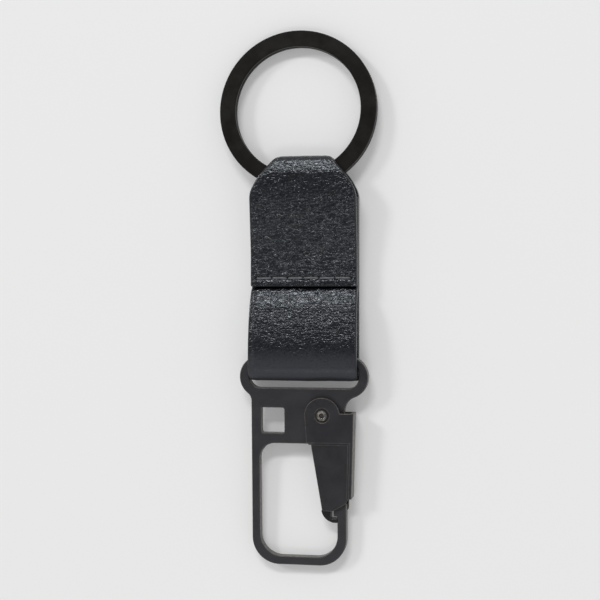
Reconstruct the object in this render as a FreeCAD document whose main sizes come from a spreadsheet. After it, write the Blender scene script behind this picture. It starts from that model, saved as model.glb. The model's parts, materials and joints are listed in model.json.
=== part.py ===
"""Key organiser: a split ring and a sling-type snap hook joined by a folded leather strap.

Axes: X across the strap, Y from the hook to the ring, Z up from the surface that it lies on.
The origin is below the middle of the whole object. Millimetres.
"""
import math
import os

import FreeCAD
import Part
import Sketcher

SIZES = {
    # where the pieces sit: every height above the strap's plane is measured from its underside
    "strap_offset_x": 1.3,
    "strap_offset_y": -0.48,
    # leather strip, folded at both ends
    "strip_thick": 1.2,
    "strip_width": 20.0,
    "layer_gap": 0.03,
    "ring_fold_y": 27.0,
    "ring_fold_inner_half": 1.2,
    "ring_fold_radius": 1.2,
    "ring_fold_half_width": 5.06,
    "taper_low_y": 19.0,
    "ring_seat_inner_dia": 23.7,
    "ring_seat_outer_dia": 30.4,
    "ring_seat_height": 2.62,
    "clip_fold_y": -15.2,
    "clip_fold_inner_half": 1.5,
    "flap_edge_y": 2.5,
    "tuck_end_y": 19.3,
    # seam
    "seam_y": 4.1,
    "stitch_pitch": 3.0,
    "stitch_count": 6.0,
    "thread_dia": 0.4,
    "thread_leg": 0.24,
    "needle_slot_width": 0.5,
    # split ring
    "ring_outer_dia": 30.0,
    "ring_inner_dia": 24.0,
    "ring_wire_thick": 1.0,
    "ring_wire_gap": 0.02,
    "ring_edge_radius": 0.2,
    "ring_centre_y": 35.8,
    "ring_cross_angle": 22.0,
    "ring_end_gap": 2.0,
    # clip plate
    "plate_thick": 2.0,
    "plate_edge": 0.18,
    "bar_width": 1.9,
    "bar_centre_y": -11.35,
    "ear_centre_x": 8.2,
    "ear_radius": 4.0,
    "slot_half": 10.45,
    "slot_height": 4.2,
    "limb_outer_x": 10.0,
    "loop_left_x": 8.5,
    "loop_right_x": 6.29,
    "post_outer_x": 7.95,
    "neck_right_x": 7.7,
    "loop_top_y": -15.55,
    "loop_bottom_y": -36.95,
    "clip_end_y": -38.5,
    "loop_outer_radius": 5.1,
    "loop_inner_radius": 4.1,
    "window_wide": 4.5,
    "window_tall": 4.8,
    "window_x": -5.93,
    "window_y": -11.25,
    "window_radius": 0.4,
    # gate pivot, in the plate's own axes
    "pivot_x": 3.68,
    "pivot_y": -10.11,
    "lug_under_radius": 5.0,
    "rivet_hole_dia": 1.56,
    "spring_pocket_dia": 3.4,
    "spring_pocket_depth": 0.95,
    # gate
    "sheet_thick": 0.55,
    "side_gap": 0.05,
    "joggle": 0.45,
    "cheek_radius": 3.3,
    "gate_hole_dia": 1.66,
    "dimple_dia": 2.8,
    "dimple_depth": 0.16,
    "spine_top_x": 5.92,
    "spine_low_x": 5.42,
    "shoulder_y": 0.41,
    "spine_low_y": -15.54,
    "spine_bend_radius": 0.4,
    "joggle_y": -5.54,
    "blade_low_y": -17.94,
    "rear_low_y": -18.14,
    # catch between the blades
    "nose_radius": 2.7,
    # rivet
    "rivet_dia": 1.5,
    "rivet_bore_dia": 0.96,
    "rivet_head_dia": 2.16,
    "rivet_head_height": 0.34,
    # torsion spring
    "spring_wire_dia": 0.4,
    "spring_mean_radius": 1.25,
    "spring_pitch": 0.44,
    "spring_leg": 2.2,
}

doc = FreeCAD.newDocument("KeyOrganiser")
sheet = doc.addObject("Spreadsheet::Sheet", "Sizes")
for row, (alias, number) in enumerate(SIZES.items(), start=1):
    sheet.set(f"A{row}", alias)
    sheet.set(f"B{row}", str(number))
    sheet.setAlias(f"B{row}", alias)
doc.recompute()


def size(alias):
    """The value of one cell of the sheet."""
    return float(sheet.get(alias))


def vec(x, y, z=0.0):
    return FreeCAD.Vector(x, y, z)


# ---------------------------------------------------------------- sketch helpers


def new_body(label, placement):
    body = doc.addObject("PartDesign::Body", label)
    body.Label = label
    body.Placement = placement
    return body


def sketch_on(body, name, plane="XY_Plane", offset=None, turn=0.0):
    """A sketch on one of the body's origin planes, moved along its normal by an expression."""
    sketch = body.newObject("Sketcher::SketchObject", name)
    support = next(f for f in body.Origin.OriginFeatures if f.Role == plane)
    sketch.AttachmentSupport = [(support, "")]
    sketch.MapMode = "FlatFace"
    sketch.AttachmentOffset = FreeCAD.Placement(vec(0, 0), FreeCAD.Rotation(vec(0, 1), turn))
    if offset:
        sketch.setExpression(".AttachmentOffset.Base.z", offset)
    return sketch


def bind(sketch, kind, *where, cell):
    """Adds a dimension to a sketch and binds it to the sheet."""
    value = abs(size(cell))
    number = sketch.addConstraint(Sketcher.Constraint(kind, *where, value))
    sketch.setExpression(f"Constraints[{number}]", f"Sizes.{cell}")


def rounded_path(points, closed):
    """Lines and tangent arcs along points given as (x, y) or (x, y, corner radius)."""
    count = len(points)
    flat = [vec(p[0], p[1]) for p in points]
    radii = [p[2] if len(p) > 2 else 0.0 for p in points]
    corners = []
    for i, point in enumerate(flat):
        if radii[i] == 0 or (not closed and i in (0, count - 1)):
            corners.append((point, None, point))
            continue
        back = (flat[i - 1] - point).normalize()
        ahead = (flat[(i + 1) % count] - point).normalize()
        half = back.getAngle(ahead) / 2
        reach = radii[i] / math.tan(half)
        centre = point + (back + ahead).normalize() * (radii[i] / math.sin(half))
        middle = centre + (point - centre).normalize() * radii[i]
        corners.append((point + back * reach, middle, point + ahead * reach))
    edges = []
    for i in range(count):
        start, middle, end = corners[i]
        if middle is not None:
            edges.append(Part.Arc(start, middle, end))
        if closed or i < count - 1:
            following = corners[(i + 1) % count][0]
            if (following - end).Length > 1e-4:
                edges.append(Part.LineSegment(end, following))
    return edges


def outline(sketch, points, closed=True):
    """Draws a rounded outline and binds each corner radius that is given as a cell's name."""
    named = [p[2] for p in points if len(p) > 2 and isinstance(p[2], str)]
    plain = [(p[0], p[1], size(p[2])) if len(p) > 2 and isinstance(p[2], str) else p for p in points]
    edges = rounded_path(plain, closed)
    sketch.addGeometry(edges, False)
    arcs = [i for i, edge in enumerate(edges) if isinstance(edge, Part.Arc)]
    rounded = [p[2] for p in points if len(p) > 2]
    for index, radius in zip(arcs, rounded):
        if radius in named:
            bind(sketch, "Radius", index, cell=radius)


def circle(sketch, x, y, cell):
    """A circle whose diameter is bound to the sheet."""
    number = sketch.addGeometry(Part.Circle(vec(x, y), vec(0, 0, 1), size(cell) / 2), False)
    bind(sketch, "Diameter", number, cell=cell)


def pad(body, sketch, name, length, both=False):
    feature = body.newObject("PartDesign::Pad", name)
    feature.Profile = sketch
    feature.setExpression("Length", length)
    feature.Midplane = both
    return feature


def pocket(body, sketch, name, depth=None, reverse=False, both=False):
    """A pocket of one depth, or through everything both ways, that must remove material."""
    doc.recompute()
    before = body.Shape.Volume
    feature = body.newObject("PartDesign::Pocket", name)
    feature.Profile = sketch
    feature.Reversed = reverse
    if depth:
        feature.setExpression("Length", depth)
        feature.Midplane = both
    else:
        feature.Type = "ThroughAll"
        feature.Midplane = True
    doc.recompute()
    if body.Shape.Volume >= before - 1e-6:
        raise RuntimeError(f"{name} removes nothing")
    return feature


def edges_where(body, test):
    """Names of the body's edges whose sample points all pass the test."""
    names = []
    for number, edge in enumerate(body.Shape.Edges, start=1):
        samples = edge.discretize(5)
        if all(test(point) for point in samples):
            names.append(f"Edge{number}")
    return names


def local_edges(body, test):
    """As edges_where, with the points in the body's own axes."""
    back = body.Placement.inverse()
    return edges_where(body, lambda point: test(back.multVec(point)))


def round_edges(body, name, cell, test):
    doc.recompute()
    base = (body.Tip, local_edges(body, test))
    feature = body.newObject("PartDesign::Fillet", name)
    feature.Base = base
    feature.setExpression("Radius", f"Sizes.{cell}")
    doc.recompute()
    return feature


# ---------------------------------------------------------------- where each piece lies

HALF_PLATE = size("plate_thick") / 2
SHEET = size("sheet_thick")
REAR_IN = -(HALF_PLATE + size("side_gap"))
REAR_OUT = REAR_IN - SHEET
BLADE_IN = HALF_PLATE + size("side_gap")
CHEEK_IN = BLADE_IN + size("joggle")
CHEEK_OUT = CHEEK_IN + SHEET
STRAP_AT = FreeCAD.Placement(vec(size("strap_offset_x"), size("strap_offset_y")), FreeCAD.Rotation())


def tilt_to_floor(height, reach, below):
    """Angle at which a point `reach` away and `below` the middle plane comes down to Z = 0."""
    return math.degrees(math.asin(height / math.hypot(reach, below)) - math.atan2(below, reach))


def clip_placement():
    """The plate's middle plane turns about its bar until the gate's rear corner is on the floor."""
    height = size("strip_thick") + size("clip_fold_inner_half")
    reach = -(size("pivot_y") + size("rear_low_y"))
    angle = tilt_to_floor(height, reach, -REAR_OUT)
    base = vec(size("strap_offset_x"), size("strap_offset_y") + size("bar_centre_y"), height)
    return FreeCAD.Placement(base, FreeCAD.Rotation(vec(1, 0), angle))


def ring_placement():
    """The ring leaves the fold level and its far side comes down to the floor."""
    height = size("strip_thick") + size("ring_fold_inner_half")
    wire_middle = (size("ring_outer_dia") + size("ring_inner_dia")) / 4
    below = size("ring_wire_thick") + size("ring_wire_gap") / 2
    angle = tilt_to_floor(height, wire_middle + size("ring_outer_dia") / 2, below)
    centre_z = height - wire_middle * math.sin(math.radians(angle))
    base = vec(0, size("ring_centre_y") + size("strap_offset_y"), centre_z)
    return FreeCAD.Placement(base, FreeCAD.Rotation(vec(1, 0), -angle))


CLIP_AT = clip_placement()
GATE_AT = CLIP_AT.multiply(FreeCAD.Placement(vec(size("pivot_x"), size("pivot_y")), FreeCAD.Rotation()))


# ---------------------------------------------------------------- leather strap


def strip_route():
    """Middle of the strip in (Y, Z, bend radius), from the tucked end to the flap's edge."""
    half = size("strip_thick") / 2
    layer = size("strip_thick") + size("layer_gap")
    tuck_z = half + layer
    flap_z = half + 2 * layer
    clip_rise = 2 * (half + size("clip_fold_inner_half"))
    ring_rise = 2 * (half + size("ring_fold_inner_half"))
    clip_end = size("clip_fold_y") + half
    ring_end = size("ring_fold_y") - half
    clip_bend = clip_rise / 2 - 0.001
    ring_bend = size("ring_fold_radius")
    return [
        (size("tuck_end_y"), tuck_z),
        (1.9, tuck_z, 1.8),
        (-0.6, half + 2.95, 6.0),
        (-6.5, half + clip_rise, 20.0),
        (clip_end, half + clip_rise, clip_bend),
        (clip_end, half, clip_bend),
        (ring_end, half, ring_bend),
        (ring_end, half + ring_rise, ring_bend),
        (19.9, half + ring_rise, 4.0),
        (16.5, flap_z, 4.0),
        (size("flap_edge_y"), flap_z),
    ]


def offset_route(route, distance):
    """The route moved sideways: each corner keeps its centre, so both skins stay parallel."""
    moved = []
    count = len(route)
    for i, point in enumerate(route):
        here = vec(point[0], point[1])
        before = vec(*route[max(i - 1, 0)][:2])
        after = vec(*route[min(i + 1, count - 1)][:2])
        if i in (0, count - 1):
            along = (after - before).normalize()
            moved.append((here.x - along.y * distance, here.y + along.x * distance))
            continue
        into = (here - before).normalize()
        out = (after - here).normalize()
        turn = into.x * out.y - into.y * out.x
        normal = vec(-into.y - out.y, into.x + out.x)
        spot = here + normal * (distance / (1 + into.dot(out)))
        bend = point[2] - distance * (1 if turn > 0 else -1)
        moved.append((spot.x, spot.y, bend))
    return moved


def strap():
    body = new_body("strap", STRAP_AT)
    profile = sketch_on(body, "StripSection", "YZ_Plane")
    half = size("strip_thick") / 2
    one_skin = offset_route(strip_route(), half)
    other_skin = offset_route(strip_route(), -half)
    outline(profile, one_skin + other_skin[::-1])
    pad(body, profile, "Strip", "Sizes.strip_width", both=True)

    corners = sketch_on(body, "RingEndTaper")
    for side in (1, -1):
        narrow = size("ring_fold_half_width")
        edge = [(narrow, 27.1), (6.55, 25.2), (8.3, 23.3), (8.9, 22.0), (9.7, 20.5), (10.0, 19.0)]
        beyond = [(10.6, size("taper_low_y")), (10.6, 27.1)]
        outline(corners, [(side * x, y) for x, y in edge + beyond])
    pocket(body, corners, "Taper")

    seat = sketch_on(body, "RingSeatShape", offset="Sizes.strip_thick + Sizes.ring_fold_inner_half")
    for cell in ("ring_seat_inner_dia", "ring_seat_outer_dia"):
        circle(seat, -size("strap_offset_x"), size("ring_centre_y"), cell)
    pocket(body, seat, "RingSeat", "Sizes.ring_seat_height", both=True)

    holes = sketch_on(body, "NeedleHoles")
    reach = size("thread_leg") + size("thread_dia") / 2 + 0.06
    wide = size("needle_slot_width") / 2
    for x in hole_positions():
        box = [(x - reach, -wide), (x + reach, -wide), (x + reach, wide), (x - reach, wide)]
        outline(holes, [(px, size("seam_y") + py) for px, py in box])
    pocket(body, holes, "Needle")

    for name, level, flip in (("FrontGroove", front_surface(), False), ("BackGroove", 0.0, True)):
        groove = sketch_on(body, f"{name}Shape")
        groove.AttachmentOffset = FreeCAD.Placement(vec(0, 0, level), FreeCAD.Rotation())
        end = hole_positions()[-1]
        box = [(-end, -wide), (end, -wide), (end, wide), (-end, wide)]
        outline(groove, [(px, size("seam_y") + py) for px, py in box])
        pocket(body, groove, name, "Sizes.thread_dia + 0.1", reverse=flip)
    return body


# ---------------------------------------------------------------- seam


def front_surface():
    return 3 * size("strip_thick") + 2 * size("layer_gap")


def hole_positions():
    count = int(size("stitch_count"))
    pitch = size("stitch_pitch")
    return [(i - count / 2) * pitch for i in range(count + 1)]


def thread(label, run_z, turn_z):
    """One thread of the lockstitch: runs on the surface and dips half way into each needle hole."""
    body = new_body(label, STRAP_AT)
    leg = size("thread_leg")
    bend = leg - 0.01
    holes = hole_positions()
    points = [(holes[0] + leg, turn_z)]
    for left, right in zip(holes, holes[1:]):
        points += [(left + leg, run_z, bend), (right - leg, run_z, bend)]
        points += [(right - leg, turn_z, bend), (right + leg, turn_z, bend)]
    points = points[:-2] + [(holes[-1] - leg, turn_z)]
    spine = sketch_on(body, f"{label}_path", "XZ_Plane", offset=f"-{size('seam_y')} mm")
    outline(spine, points, closed=False)
    section = sketch_on(body, f"{label}_section", offset=f"{turn_z} mm")
    circle(section, points[0][0], size("seam_y"), "thread_dia")
    doc.recompute()
    pipe = body.newObject("PartDesign::AdditivePipe", f"{label}_pipe")
    pipe.Profile = section
    pipe.Spine = (spine, [f"Edge{i}" for i in range(1, len(spine.Shape.Edges) + 1)])
    return body


# ---------------------------------------------------------------- split ring


def ring_section(body, name, angle, height):
    """The flat wire's section on the radial plane at an angle, with its middle at a height."""
    section = sketch_on(body, name, "XZ_Plane", turn=angle)
    inner = size("ring_inner_dia") / 2
    outer = size("ring_outer_dia") / 2
    low = height - size("ring_wire_thick") / 2
    high = height + size("ring_wire_thick") / 2
    edge = "ring_edge_radius"
    outline(section, [(inner, low, edge), (outer, low, edge), (outer, high, edge), (inner, high, edge)])
    return section


def split_ring():
    """Two flat turns joined by a short crossover, which the strap's fold hides."""
    body = new_body("split_ring", ring_placement())
    level = (size("ring_wire_thick") + size("ring_wire_gap")) / 2
    cross = size("ring_cross_angle")
    turn = 360 - cross - size("ring_end_gap")
    cross_start = 270 - cross / 2
    steps = 6
    sections = []
    for i in range(steps + 1):
        share = i / steps
        height = level * math.cos(math.pi * share)
        sections.append(ring_section(body, f"Cross{i}", cross_start + cross * share, height))
    loft = body.newObject("PartDesign::AdditiveLoft", "Crossover")
    loft.Profile = sections[0]
    loft.Sections = sections[1:]
    loft.Ruled = True
    upper = ring_section(body, "UpperStart", cross_start - turn, level)
    lower = ring_section(body, "LowerStart", cross_start + cross, -level)
    for name, section in (("UpperTurn", upper), ("LowerTurn", lower)):
        wind = body.newObject("PartDesign::Revolution", name)
        wind.Profile = section
        wind.ReferenceAxis = (section, ["V_Axis"])
        wind.setExpression("Angle", "360 - Sizes.ring_cross_angle - Sizes.ring_end_gap")
    return body


# ---------------------------------------------------------------- clip plate


def plate_outline():
    ear_x = size("ear_centre_x") + size("ear_radius")
    top = size("bar_width") / 2
    ear = size("ear_radius")
    left = -size("limb_outer_x")
    post = size("post_outer_x")
    neck = size("neck_right_x")
    end = size("clip_end_y")
    tip_low, tip_high = -27.85, -26.7
    beak_x = 5.58
    beak_low = -29.1
    under = size("lug_under_radius")
    pivot = (size("pivot_x"), size("pivot_y"))
    lug_x = pivot[0] + under
    return [
        (-ear_x, top, "ear_radius"),
        (-ear_x, -4.94, ear - 0.12),
        (left, -6.74, 1.85),
        (left, end, "loop_outer_radius"),
        (post, end, "loop_outer_radius"),
        (post, tip_high, 0.25),
        (beak_x, tip_low, 0.22),
        (beak_x, beak_low, 0.22),
        (size("loop_right_x"), beak_low, 0.22),
        (size("loop_right_x"), size("loop_bottom_y"), "loop_inner_radius"),
        (-size("loop_left_x"), size("loop_bottom_y"), "loop_inner_radius"),
        (-size("loop_left_x"), size("loop_top_y"), 3.0),
        (4.0, size("loop_top_y"), 0.5),
        (pivot[0] + 2.4, pivot[1] - under + 0.65, 3.4),
        (neck, -12.5, 2.6),
        (neck, -7.52, 2.9),
        (ear_x, -5.8, ear - 0.12),
        (ear_x, top, "ear_radius"),
    ]


def clip_frame():
    body = new_body("clip_frame", CLIP_AT)
    shape = sketch_on(body, "PlateShape")
    outline(shape, plate_outline())
    pad(body, shape, "Plate", "Sizes.plate_thick", both=True)

    slot = sketch_on(body, "StrapSlot")
    half = size("slot_half")
    top = -size("bar_width") / 2
    low = top - size("slot_height")
    outline(slot, [(-half, top, 0.6), (-half, low, 2.1), (half, low, 2.1), (half, top, 0.6)])
    pocket(body, slot, "Slot")

    window = sketch_on(body, "WindowShape")
    half_wide = size("window_wide") / 2
    half_tall = size("window_tall") / 2
    corners = [(-half_wide, -half_tall), (half_wide, -half_tall), (half_wide, half_tall), (-half_wide, half_tall)]
    middle = (size("window_x"), size("window_y"))
    outline(window, [(middle[0] + x, middle[1] + y, "window_radius") for x, y in corners])
    pocket(body, window, "Window")

    rim = HALF_PLATE - 1e-4
    round_edges(body, "PlateEdges", "plate_edge", lambda point: abs(point.z) > rim)

    hole = sketch_on(body, "RivetHoleShape")
    circle(hole, size("pivot_x"), size("pivot_y"), "rivet_hole_dia")
    pocket(body, hole, "RivetHole")

    recess = sketch_on(body, "SpringPocketShape", offset="Sizes.plate_thick / 2")
    circle(recess, size("pivot_x"), size("pivot_y"), "spring_pocket_dia")
    pocket(body, recess, "SpringPocket", "Sizes.spring_pocket_depth")

    channel = sketch_on(body, "SpringAnchorShape", offset="Sizes.plate_thick / 2")
    start, along = spring_anchor()
    side = vec(-along.y, along.x) * 0.3
    end = start + along * (size("spring_leg") + 0.25)
    corners = [start - side, end - side, end + side, start + side]
    outline(channel, [(size("pivot_x") + p.x, size("pivot_y") + p.y) for p in corners])
    pocket(body, channel, "SpringAnchor", "Sizes.spring_pocket_depth")
    return body


# ---------------------------------------------------------------- gate


def slant(x, y):
    """Unit helper for the spine: its outer face leans in towards the tip."""
    lean = (size("spine_top_x") - size("spine_low_x")) / (size("shoulder_y") - size("spine_low_y"))
    return x + lean * (y - size("shoulder_y"))


def lug_points():
    """The cheek's edge from its shoulder over the round lug, down its left side."""
    lug = size("cheek_radius")
    shoulder = size("shoulder_y")
    rise = math.asin(shoulder / lug)
    meet = lug * (1 - math.sin(rise)) / math.cos(rise)
    return [
        (lug * math.cos(rise), shoulder),
        (meet, lug, lug - 0.005),
        (-lug, lug, lug - 0.06),
        (-lug, -0.1, 1.0),
    ]


def gate_channel():
    """Folded sheet: front cheek and recessed front blade, spine, and a flat rear cheek and blade."""
    body = new_body("gate_channel", GATE_AT)
    top_x = size("spine_top_x")
    shoulder = size("shoulder_y")
    low = size("spine_low_y")
    low_x = size("spine_low_x")

    wall = sketch_on(body, "SpineShape", offset=f"{REAR_OUT} mm")
    outline(wall, [(top_x - SHEET, shoulder), (low_x - SHEET, low), (low_x, low), (top_x, shoulder)])
    pad(body, wall, "Spine", f"{CHEEK_OUT - REAR_OUT} mm")

    rim_in = 0.95
    joggle = size("joggle_y")
    cheek = sketch_on(body, "CheekShape", offset=f"{CHEEK_IN} mm")
    rim_edge = [(slant(top_x, joggle) - rim_in, joggle), (low_x - rim_in, low)]
    corner = [(-2.96, joggle + 0.42), (-2.54, joggle)]
    outline(cheek, [(top_x, shoulder)] + lug_points() + corner + rim_edge + [(low_x, low)])
    pad(body, cheek, "FrontCheek", "Sizes.sheet_thick")

    blade = sketch_on(body, "BladeShape", offset=f"{BLADE_IN} mm")
    lap = 0.35
    outline(
        blade,
        [
            (-2.25, joggle + lap),
            (-0.14, size("blade_low_y"), 0.25),
            (1.8, size("blade_low_y"), 0.2),
            (4.2, -16.6, 0.2),
            (low_x - rim_in + lap + 0.02, low + 0.1),
            (slant(top_x, joggle) - rim_in + lap, joggle + lap),
        ],
    )
    pad(body, blade, "FrontBlade", "Sizes.sheet_thick")

    rear = sketch_on(body, "RearShape", offset=f"{REAR_OUT} mm")
    outline(
        rear,
        [(top_x, shoulder)]
        + lug_points()
        + [
            (-2.4, joggle, 2.0),
            (-0.14, size("rear_low_y"), 0.3),
            (4.42, size("rear_low_y"), 0.4),
            (4.52, low, 0.2),
            (low_x, low),
        ],
    )
    pad(body, rear, "RearSide", "Sizes.sheet_thick")

    hole = sketch_on(body, "GateHoleShape")
    circle(hole, 0, 0, "gate_hole_dia")
    pocket(body, hole, "GateHole")
    for name, level, flip in (("FrontDimple", CHEEK_OUT, False), ("RearDimple", REAR_OUT, True)):
        dimple = sketch_on(body, f"{name}Shape", offset=f"{level} mm")
        circle(dimple, 0, 0, "dimple_dia")
        pocket(body, dimple, name, "Sizes.dimple_depth", reverse=flip)

    doc.recompute()
    base = (body.Tip, local_edges(body, on_joggle))
    step = body.newObject("PartDesign::Chamfer", "JoggleSlope")
    step.Base = base
    step.setExpression("Size", "Sizes.joggle - 0.01")
    doc.recompute()
    round_edges(body, "SpineBends", "spine_bend_radius", on_spine_bend)
    return body


def on_joggle(point):
    """Upper edges of the step between the cheek or rim and the recessed blade."""
    if abs(point.z - CHEEK_OUT) > 1e-4:
        return False
    joggle = size("joggle_y")
    rim_x = slant(size("spine_top_x"), point.y) - 0.95
    along_cheek = abs(point.y - joggle) < 1e-3 and -2.6 < point.x
    along_rim = abs(point.x - rim_x) < 5e-3 and point.y < joggle + 1e-3
    return along_cheek or along_rim


def on_spine_bend(point):
    """The two long outer edges of the spine."""
    outside = abs(point.x - slant(size("spine_top_x"), point.y)) < 1e-3
    return outside and (abs(point.z - CHEEK_OUT) < 1e-4 or abs(point.z - REAR_OUT) < 1e-4)


def gate_nose():
    """Catch held between the blades: its lip passes under the hook's beak and stops on the post."""
    body = new_body("gate_nose", GATE_AT)
    shape = sketch_on(body, "NoseShape", offset="-Sizes.plate_thick / 2 - Sizes.side_gap")
    centre = vec(2.27, -17.5)
    radius = size("nose_radius")
    lip_x, lip_top, wall_x = 2.55, -19.5, 1.34
    start = centre + vec(-radius * math.cos(math.radians(10)), -radius * math.sin(math.radians(10)))
    middle = centre + vec(-radius * math.cos(math.radians(50)), -radius * math.sin(math.radians(50)))
    drop = math.sqrt(radius**2 - (lip_x - centre.x) ** 2)
    end = vec(lip_x, centre.y - drop)
    inside = [end, vec(lip_x, lip_top), vec(wall_x, lip_top), vec(wall_x, -16.2)]
    inside += [vec(0.6, -13.6), vec(-0.6, -13.6), vec(0.05, -17.3), start]
    shape.addGeometry(Part.Arc(start, middle, end), False)
    for here, there in zip(inside, inside[1:]):
        shape.addGeometry(Part.LineSegment(here, there), False)
    bind(shape, "Radius", 0, cell="nose_radius")
    pad(body, shape, "Nose", "Sizes.plate_thick + 2 * Sizes.side_gap")
    return body


# ---------------------------------------------------------------- rivet and spring


def gate_rivet():
    """Tubular rivet with both ends rolled over, seated in the cheeks' dimples."""
    body = new_body("gate_rivet", GATE_AT)
    bore = size("rivet_bore_dia") / 2
    shank = size("rivet_dia") / 2
    head = size("rivet_head_dia") / 2
    seat_high = CHEEK_OUT - size("dimple_depth") + 0.04
    seat_low = REAR_OUT + size("dimple_depth") - 0.04
    tall = size("rivet_head_height")
    profile = sketch_on(body, "RivetSection", "XZ_Plane")
    outline(
        profile,
        [
            (bore, seat_low - tall, 0.14),
            (head, seat_low - tall, 0.2),
            (head, seat_low, 0.1),
            (shank, seat_low),
            (shank, seat_high),
            (head, seat_high, 0.1),
            (head, seat_high + tall, 0.2),
            (bore, seat_high + tall, 0.14),
        ],
    )
    turn = body.newObject("PartDesign::Revolution", "RivetTurn")
    turn.Profile = profile
    turn.ReferenceAxis = (profile, ["V_Axis"])
    turn.Angle = 360
    return body


FREE_ANGLE = 37.1
ANCHOR_ANGLE = 110.0


def spring_anchor():
    """Where the fixed leg meets the coil, and the direction that it runs away in."""
    angle = math.radians(ANCHOR_ANGLE)
    start = vec(math.cos(angle), math.sin(angle)) * size("spring_mean_radius")
    along = vec(math.cos(angle + math.pi / 2), math.sin(angle + math.pi / 2))
    return start, along


def gate_spring():
    """Torsion spring round the rivet: one leg lies in the plate, the other pushes the spine out."""
    radius = size("spring_mean_radius")
    pitch = size("spring_pitch")
    wire = size("spring_wire_dia") / 2
    low = HALF_PLATE - size("spring_pocket_depth") + wire + 0.05
    turns = (ANCHOR_ANGLE + 720 - FREE_ANGLE) / 360
    coil = Part.makeHelix(pitch, pitch * turns, radius, 0, True)
    coil.rotate(vec(0, 0), vec(0, 0, 1), ANCHOR_ANGLE)
    coil.translate(vec(0, 0, low))
    start, away = spring_anchor()
    high = low + pitch * turns
    free = math.radians(FREE_ANGLE)
    leave = vec(math.cos(free) * radius, math.sin(free) * radius, high)
    heading = vec(math.sin(free), -math.cos(free))
    inner_face = slant(size("spine_top_x"), -4.6) - SHEET
    reach = (inner_face - wire - 0.12 - leave.x) / heading.x
    fixed_start = vec(start.x, start.y, low)
    fixed_end = fixed_start + away * size("spring_leg")
    pieces = []
    for path, origin, direction in (
        (Part.makeLine(fixed_end, fixed_start), fixed_end, away),
        (coil, fixed_start, away),
        (Part.makeLine(leave, leave + heading * reach), leave, heading),
    ):
        section = Part.Wire(Part.makeCircle(wire, origin, direction))
        pieces.append(Part.Wire(path).makePipeShell([section], True, True))
    joints = [Part.makeSphere(wire, spot) for spot in (fixed_start, leave)]
    spring = doc.addObject("Part::Feature", "gate_spring")
    spring.Shape = pieces[0].multiFuse(pieces[1:] + joints).removeSplitter()
    spring.Label = "gate_spring"
    spring.Placement = GATE_AT
    return spring


# ---------------------------------------------------------------- build and write


def check(parts):
    for item in doc.Objects:
        if any(word in item.State for word in ("Invalid", "Error")):
            raise RuntimeError(f"{item.Name} failed: {item.State}")
    for part in parts:
        if part.Shape.isNull() or not part.Shape.isValid() or not part.Shape.Solids:
            raise RuntimeError(f"{part.Label} has no valid shape")


def main():
    middle = front_surface() / 2
    gap = size("thread_dia") / 2 + 0.02
    parts = [
        strap(),
        thread("stitch_thread_front", front_surface() - 0.05, middle + gap),
        thread("stitch_thread_back", size("thread_dia") / 2 + 0.03, middle - gap),
        split_ring(),
        clip_frame(),
        gate_channel(),
        gate_nose(),
        gate_rivet(),
        gate_spring(),
    ]
    doc.recompute()
    check(parts)
    os.makedirs("parts", exist_ok=True)
    for part in parts:
        box = part.Shape.BoundBox
        print(f"{part.Label}: {len(part.Shape.Solids)} solid(s), {part.Shape.Volume:.2f} mm3,", box)
        part.Shape.exportStep(f"parts/{part.Label}.step")


main()
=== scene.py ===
"""Looks of a key organiser: leather strap, seam, black metal ring and sling-type snap hook.

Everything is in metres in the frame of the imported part: X across the strap, Y from hook to ring, Z up.
"""

import json
import math

import bpy
import numpy as np
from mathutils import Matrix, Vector


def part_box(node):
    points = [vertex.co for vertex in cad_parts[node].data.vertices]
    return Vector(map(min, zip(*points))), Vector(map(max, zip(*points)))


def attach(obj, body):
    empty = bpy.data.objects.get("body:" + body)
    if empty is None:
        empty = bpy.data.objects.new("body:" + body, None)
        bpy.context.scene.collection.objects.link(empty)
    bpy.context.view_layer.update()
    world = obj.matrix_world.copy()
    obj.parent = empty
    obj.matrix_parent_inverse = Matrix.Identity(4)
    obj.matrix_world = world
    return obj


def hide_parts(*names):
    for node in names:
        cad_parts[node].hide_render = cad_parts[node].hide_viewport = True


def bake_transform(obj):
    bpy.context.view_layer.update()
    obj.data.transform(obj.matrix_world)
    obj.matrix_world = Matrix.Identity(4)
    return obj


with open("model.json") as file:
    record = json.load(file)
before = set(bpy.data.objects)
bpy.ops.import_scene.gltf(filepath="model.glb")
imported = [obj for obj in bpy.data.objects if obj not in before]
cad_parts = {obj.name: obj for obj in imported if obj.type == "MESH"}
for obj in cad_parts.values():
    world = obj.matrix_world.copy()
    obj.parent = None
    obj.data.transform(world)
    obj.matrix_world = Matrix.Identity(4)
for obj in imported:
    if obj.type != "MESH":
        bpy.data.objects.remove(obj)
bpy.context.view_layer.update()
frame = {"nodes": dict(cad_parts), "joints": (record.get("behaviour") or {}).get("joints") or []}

MM = 0.001
JOINTS = {joint["name"]: joint for joint in frame["joints"]}


# ---------------------------------------------------------------- camera, floor and light

CAMERA_TILT = math.radians(11)
CAMERA_AWAY = 0.250
CAMERA_LENS = 79.0
CAMERA_NEAR = 0.005
CAMERA_LOOKS_AT = Vector((0.0, -0.48 * MM, 0.0))
FLOOR_SIDE = 4.0
FLOOR_DROP = 0.02 * MM
FLOOR_TONE = (0.80, 0.80, 0.80)
FLOOR_GLOW = 0.14
KEY_DIRECTION = Vector((1.25, -0.75, -1.0))
KEY_POWER = 0.70
KEY_ANGLE = math.radians(11)
ZENITH_LIGHT = 0.12
HORIZON_LIGHT = 0.69
# Soft boxes: direction towards the light, distance, width, height and radiance.
SOFT_BOXES = {
    "overhead": (Vector((-0.10, 0.68, 0.73)), 2.0, 0.80, 0.27, 19.0),
    "fill": (Vector((0.05, -0.50, 0.86)), 2.0, 1.0, 0.5, 2.4),
}


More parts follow.
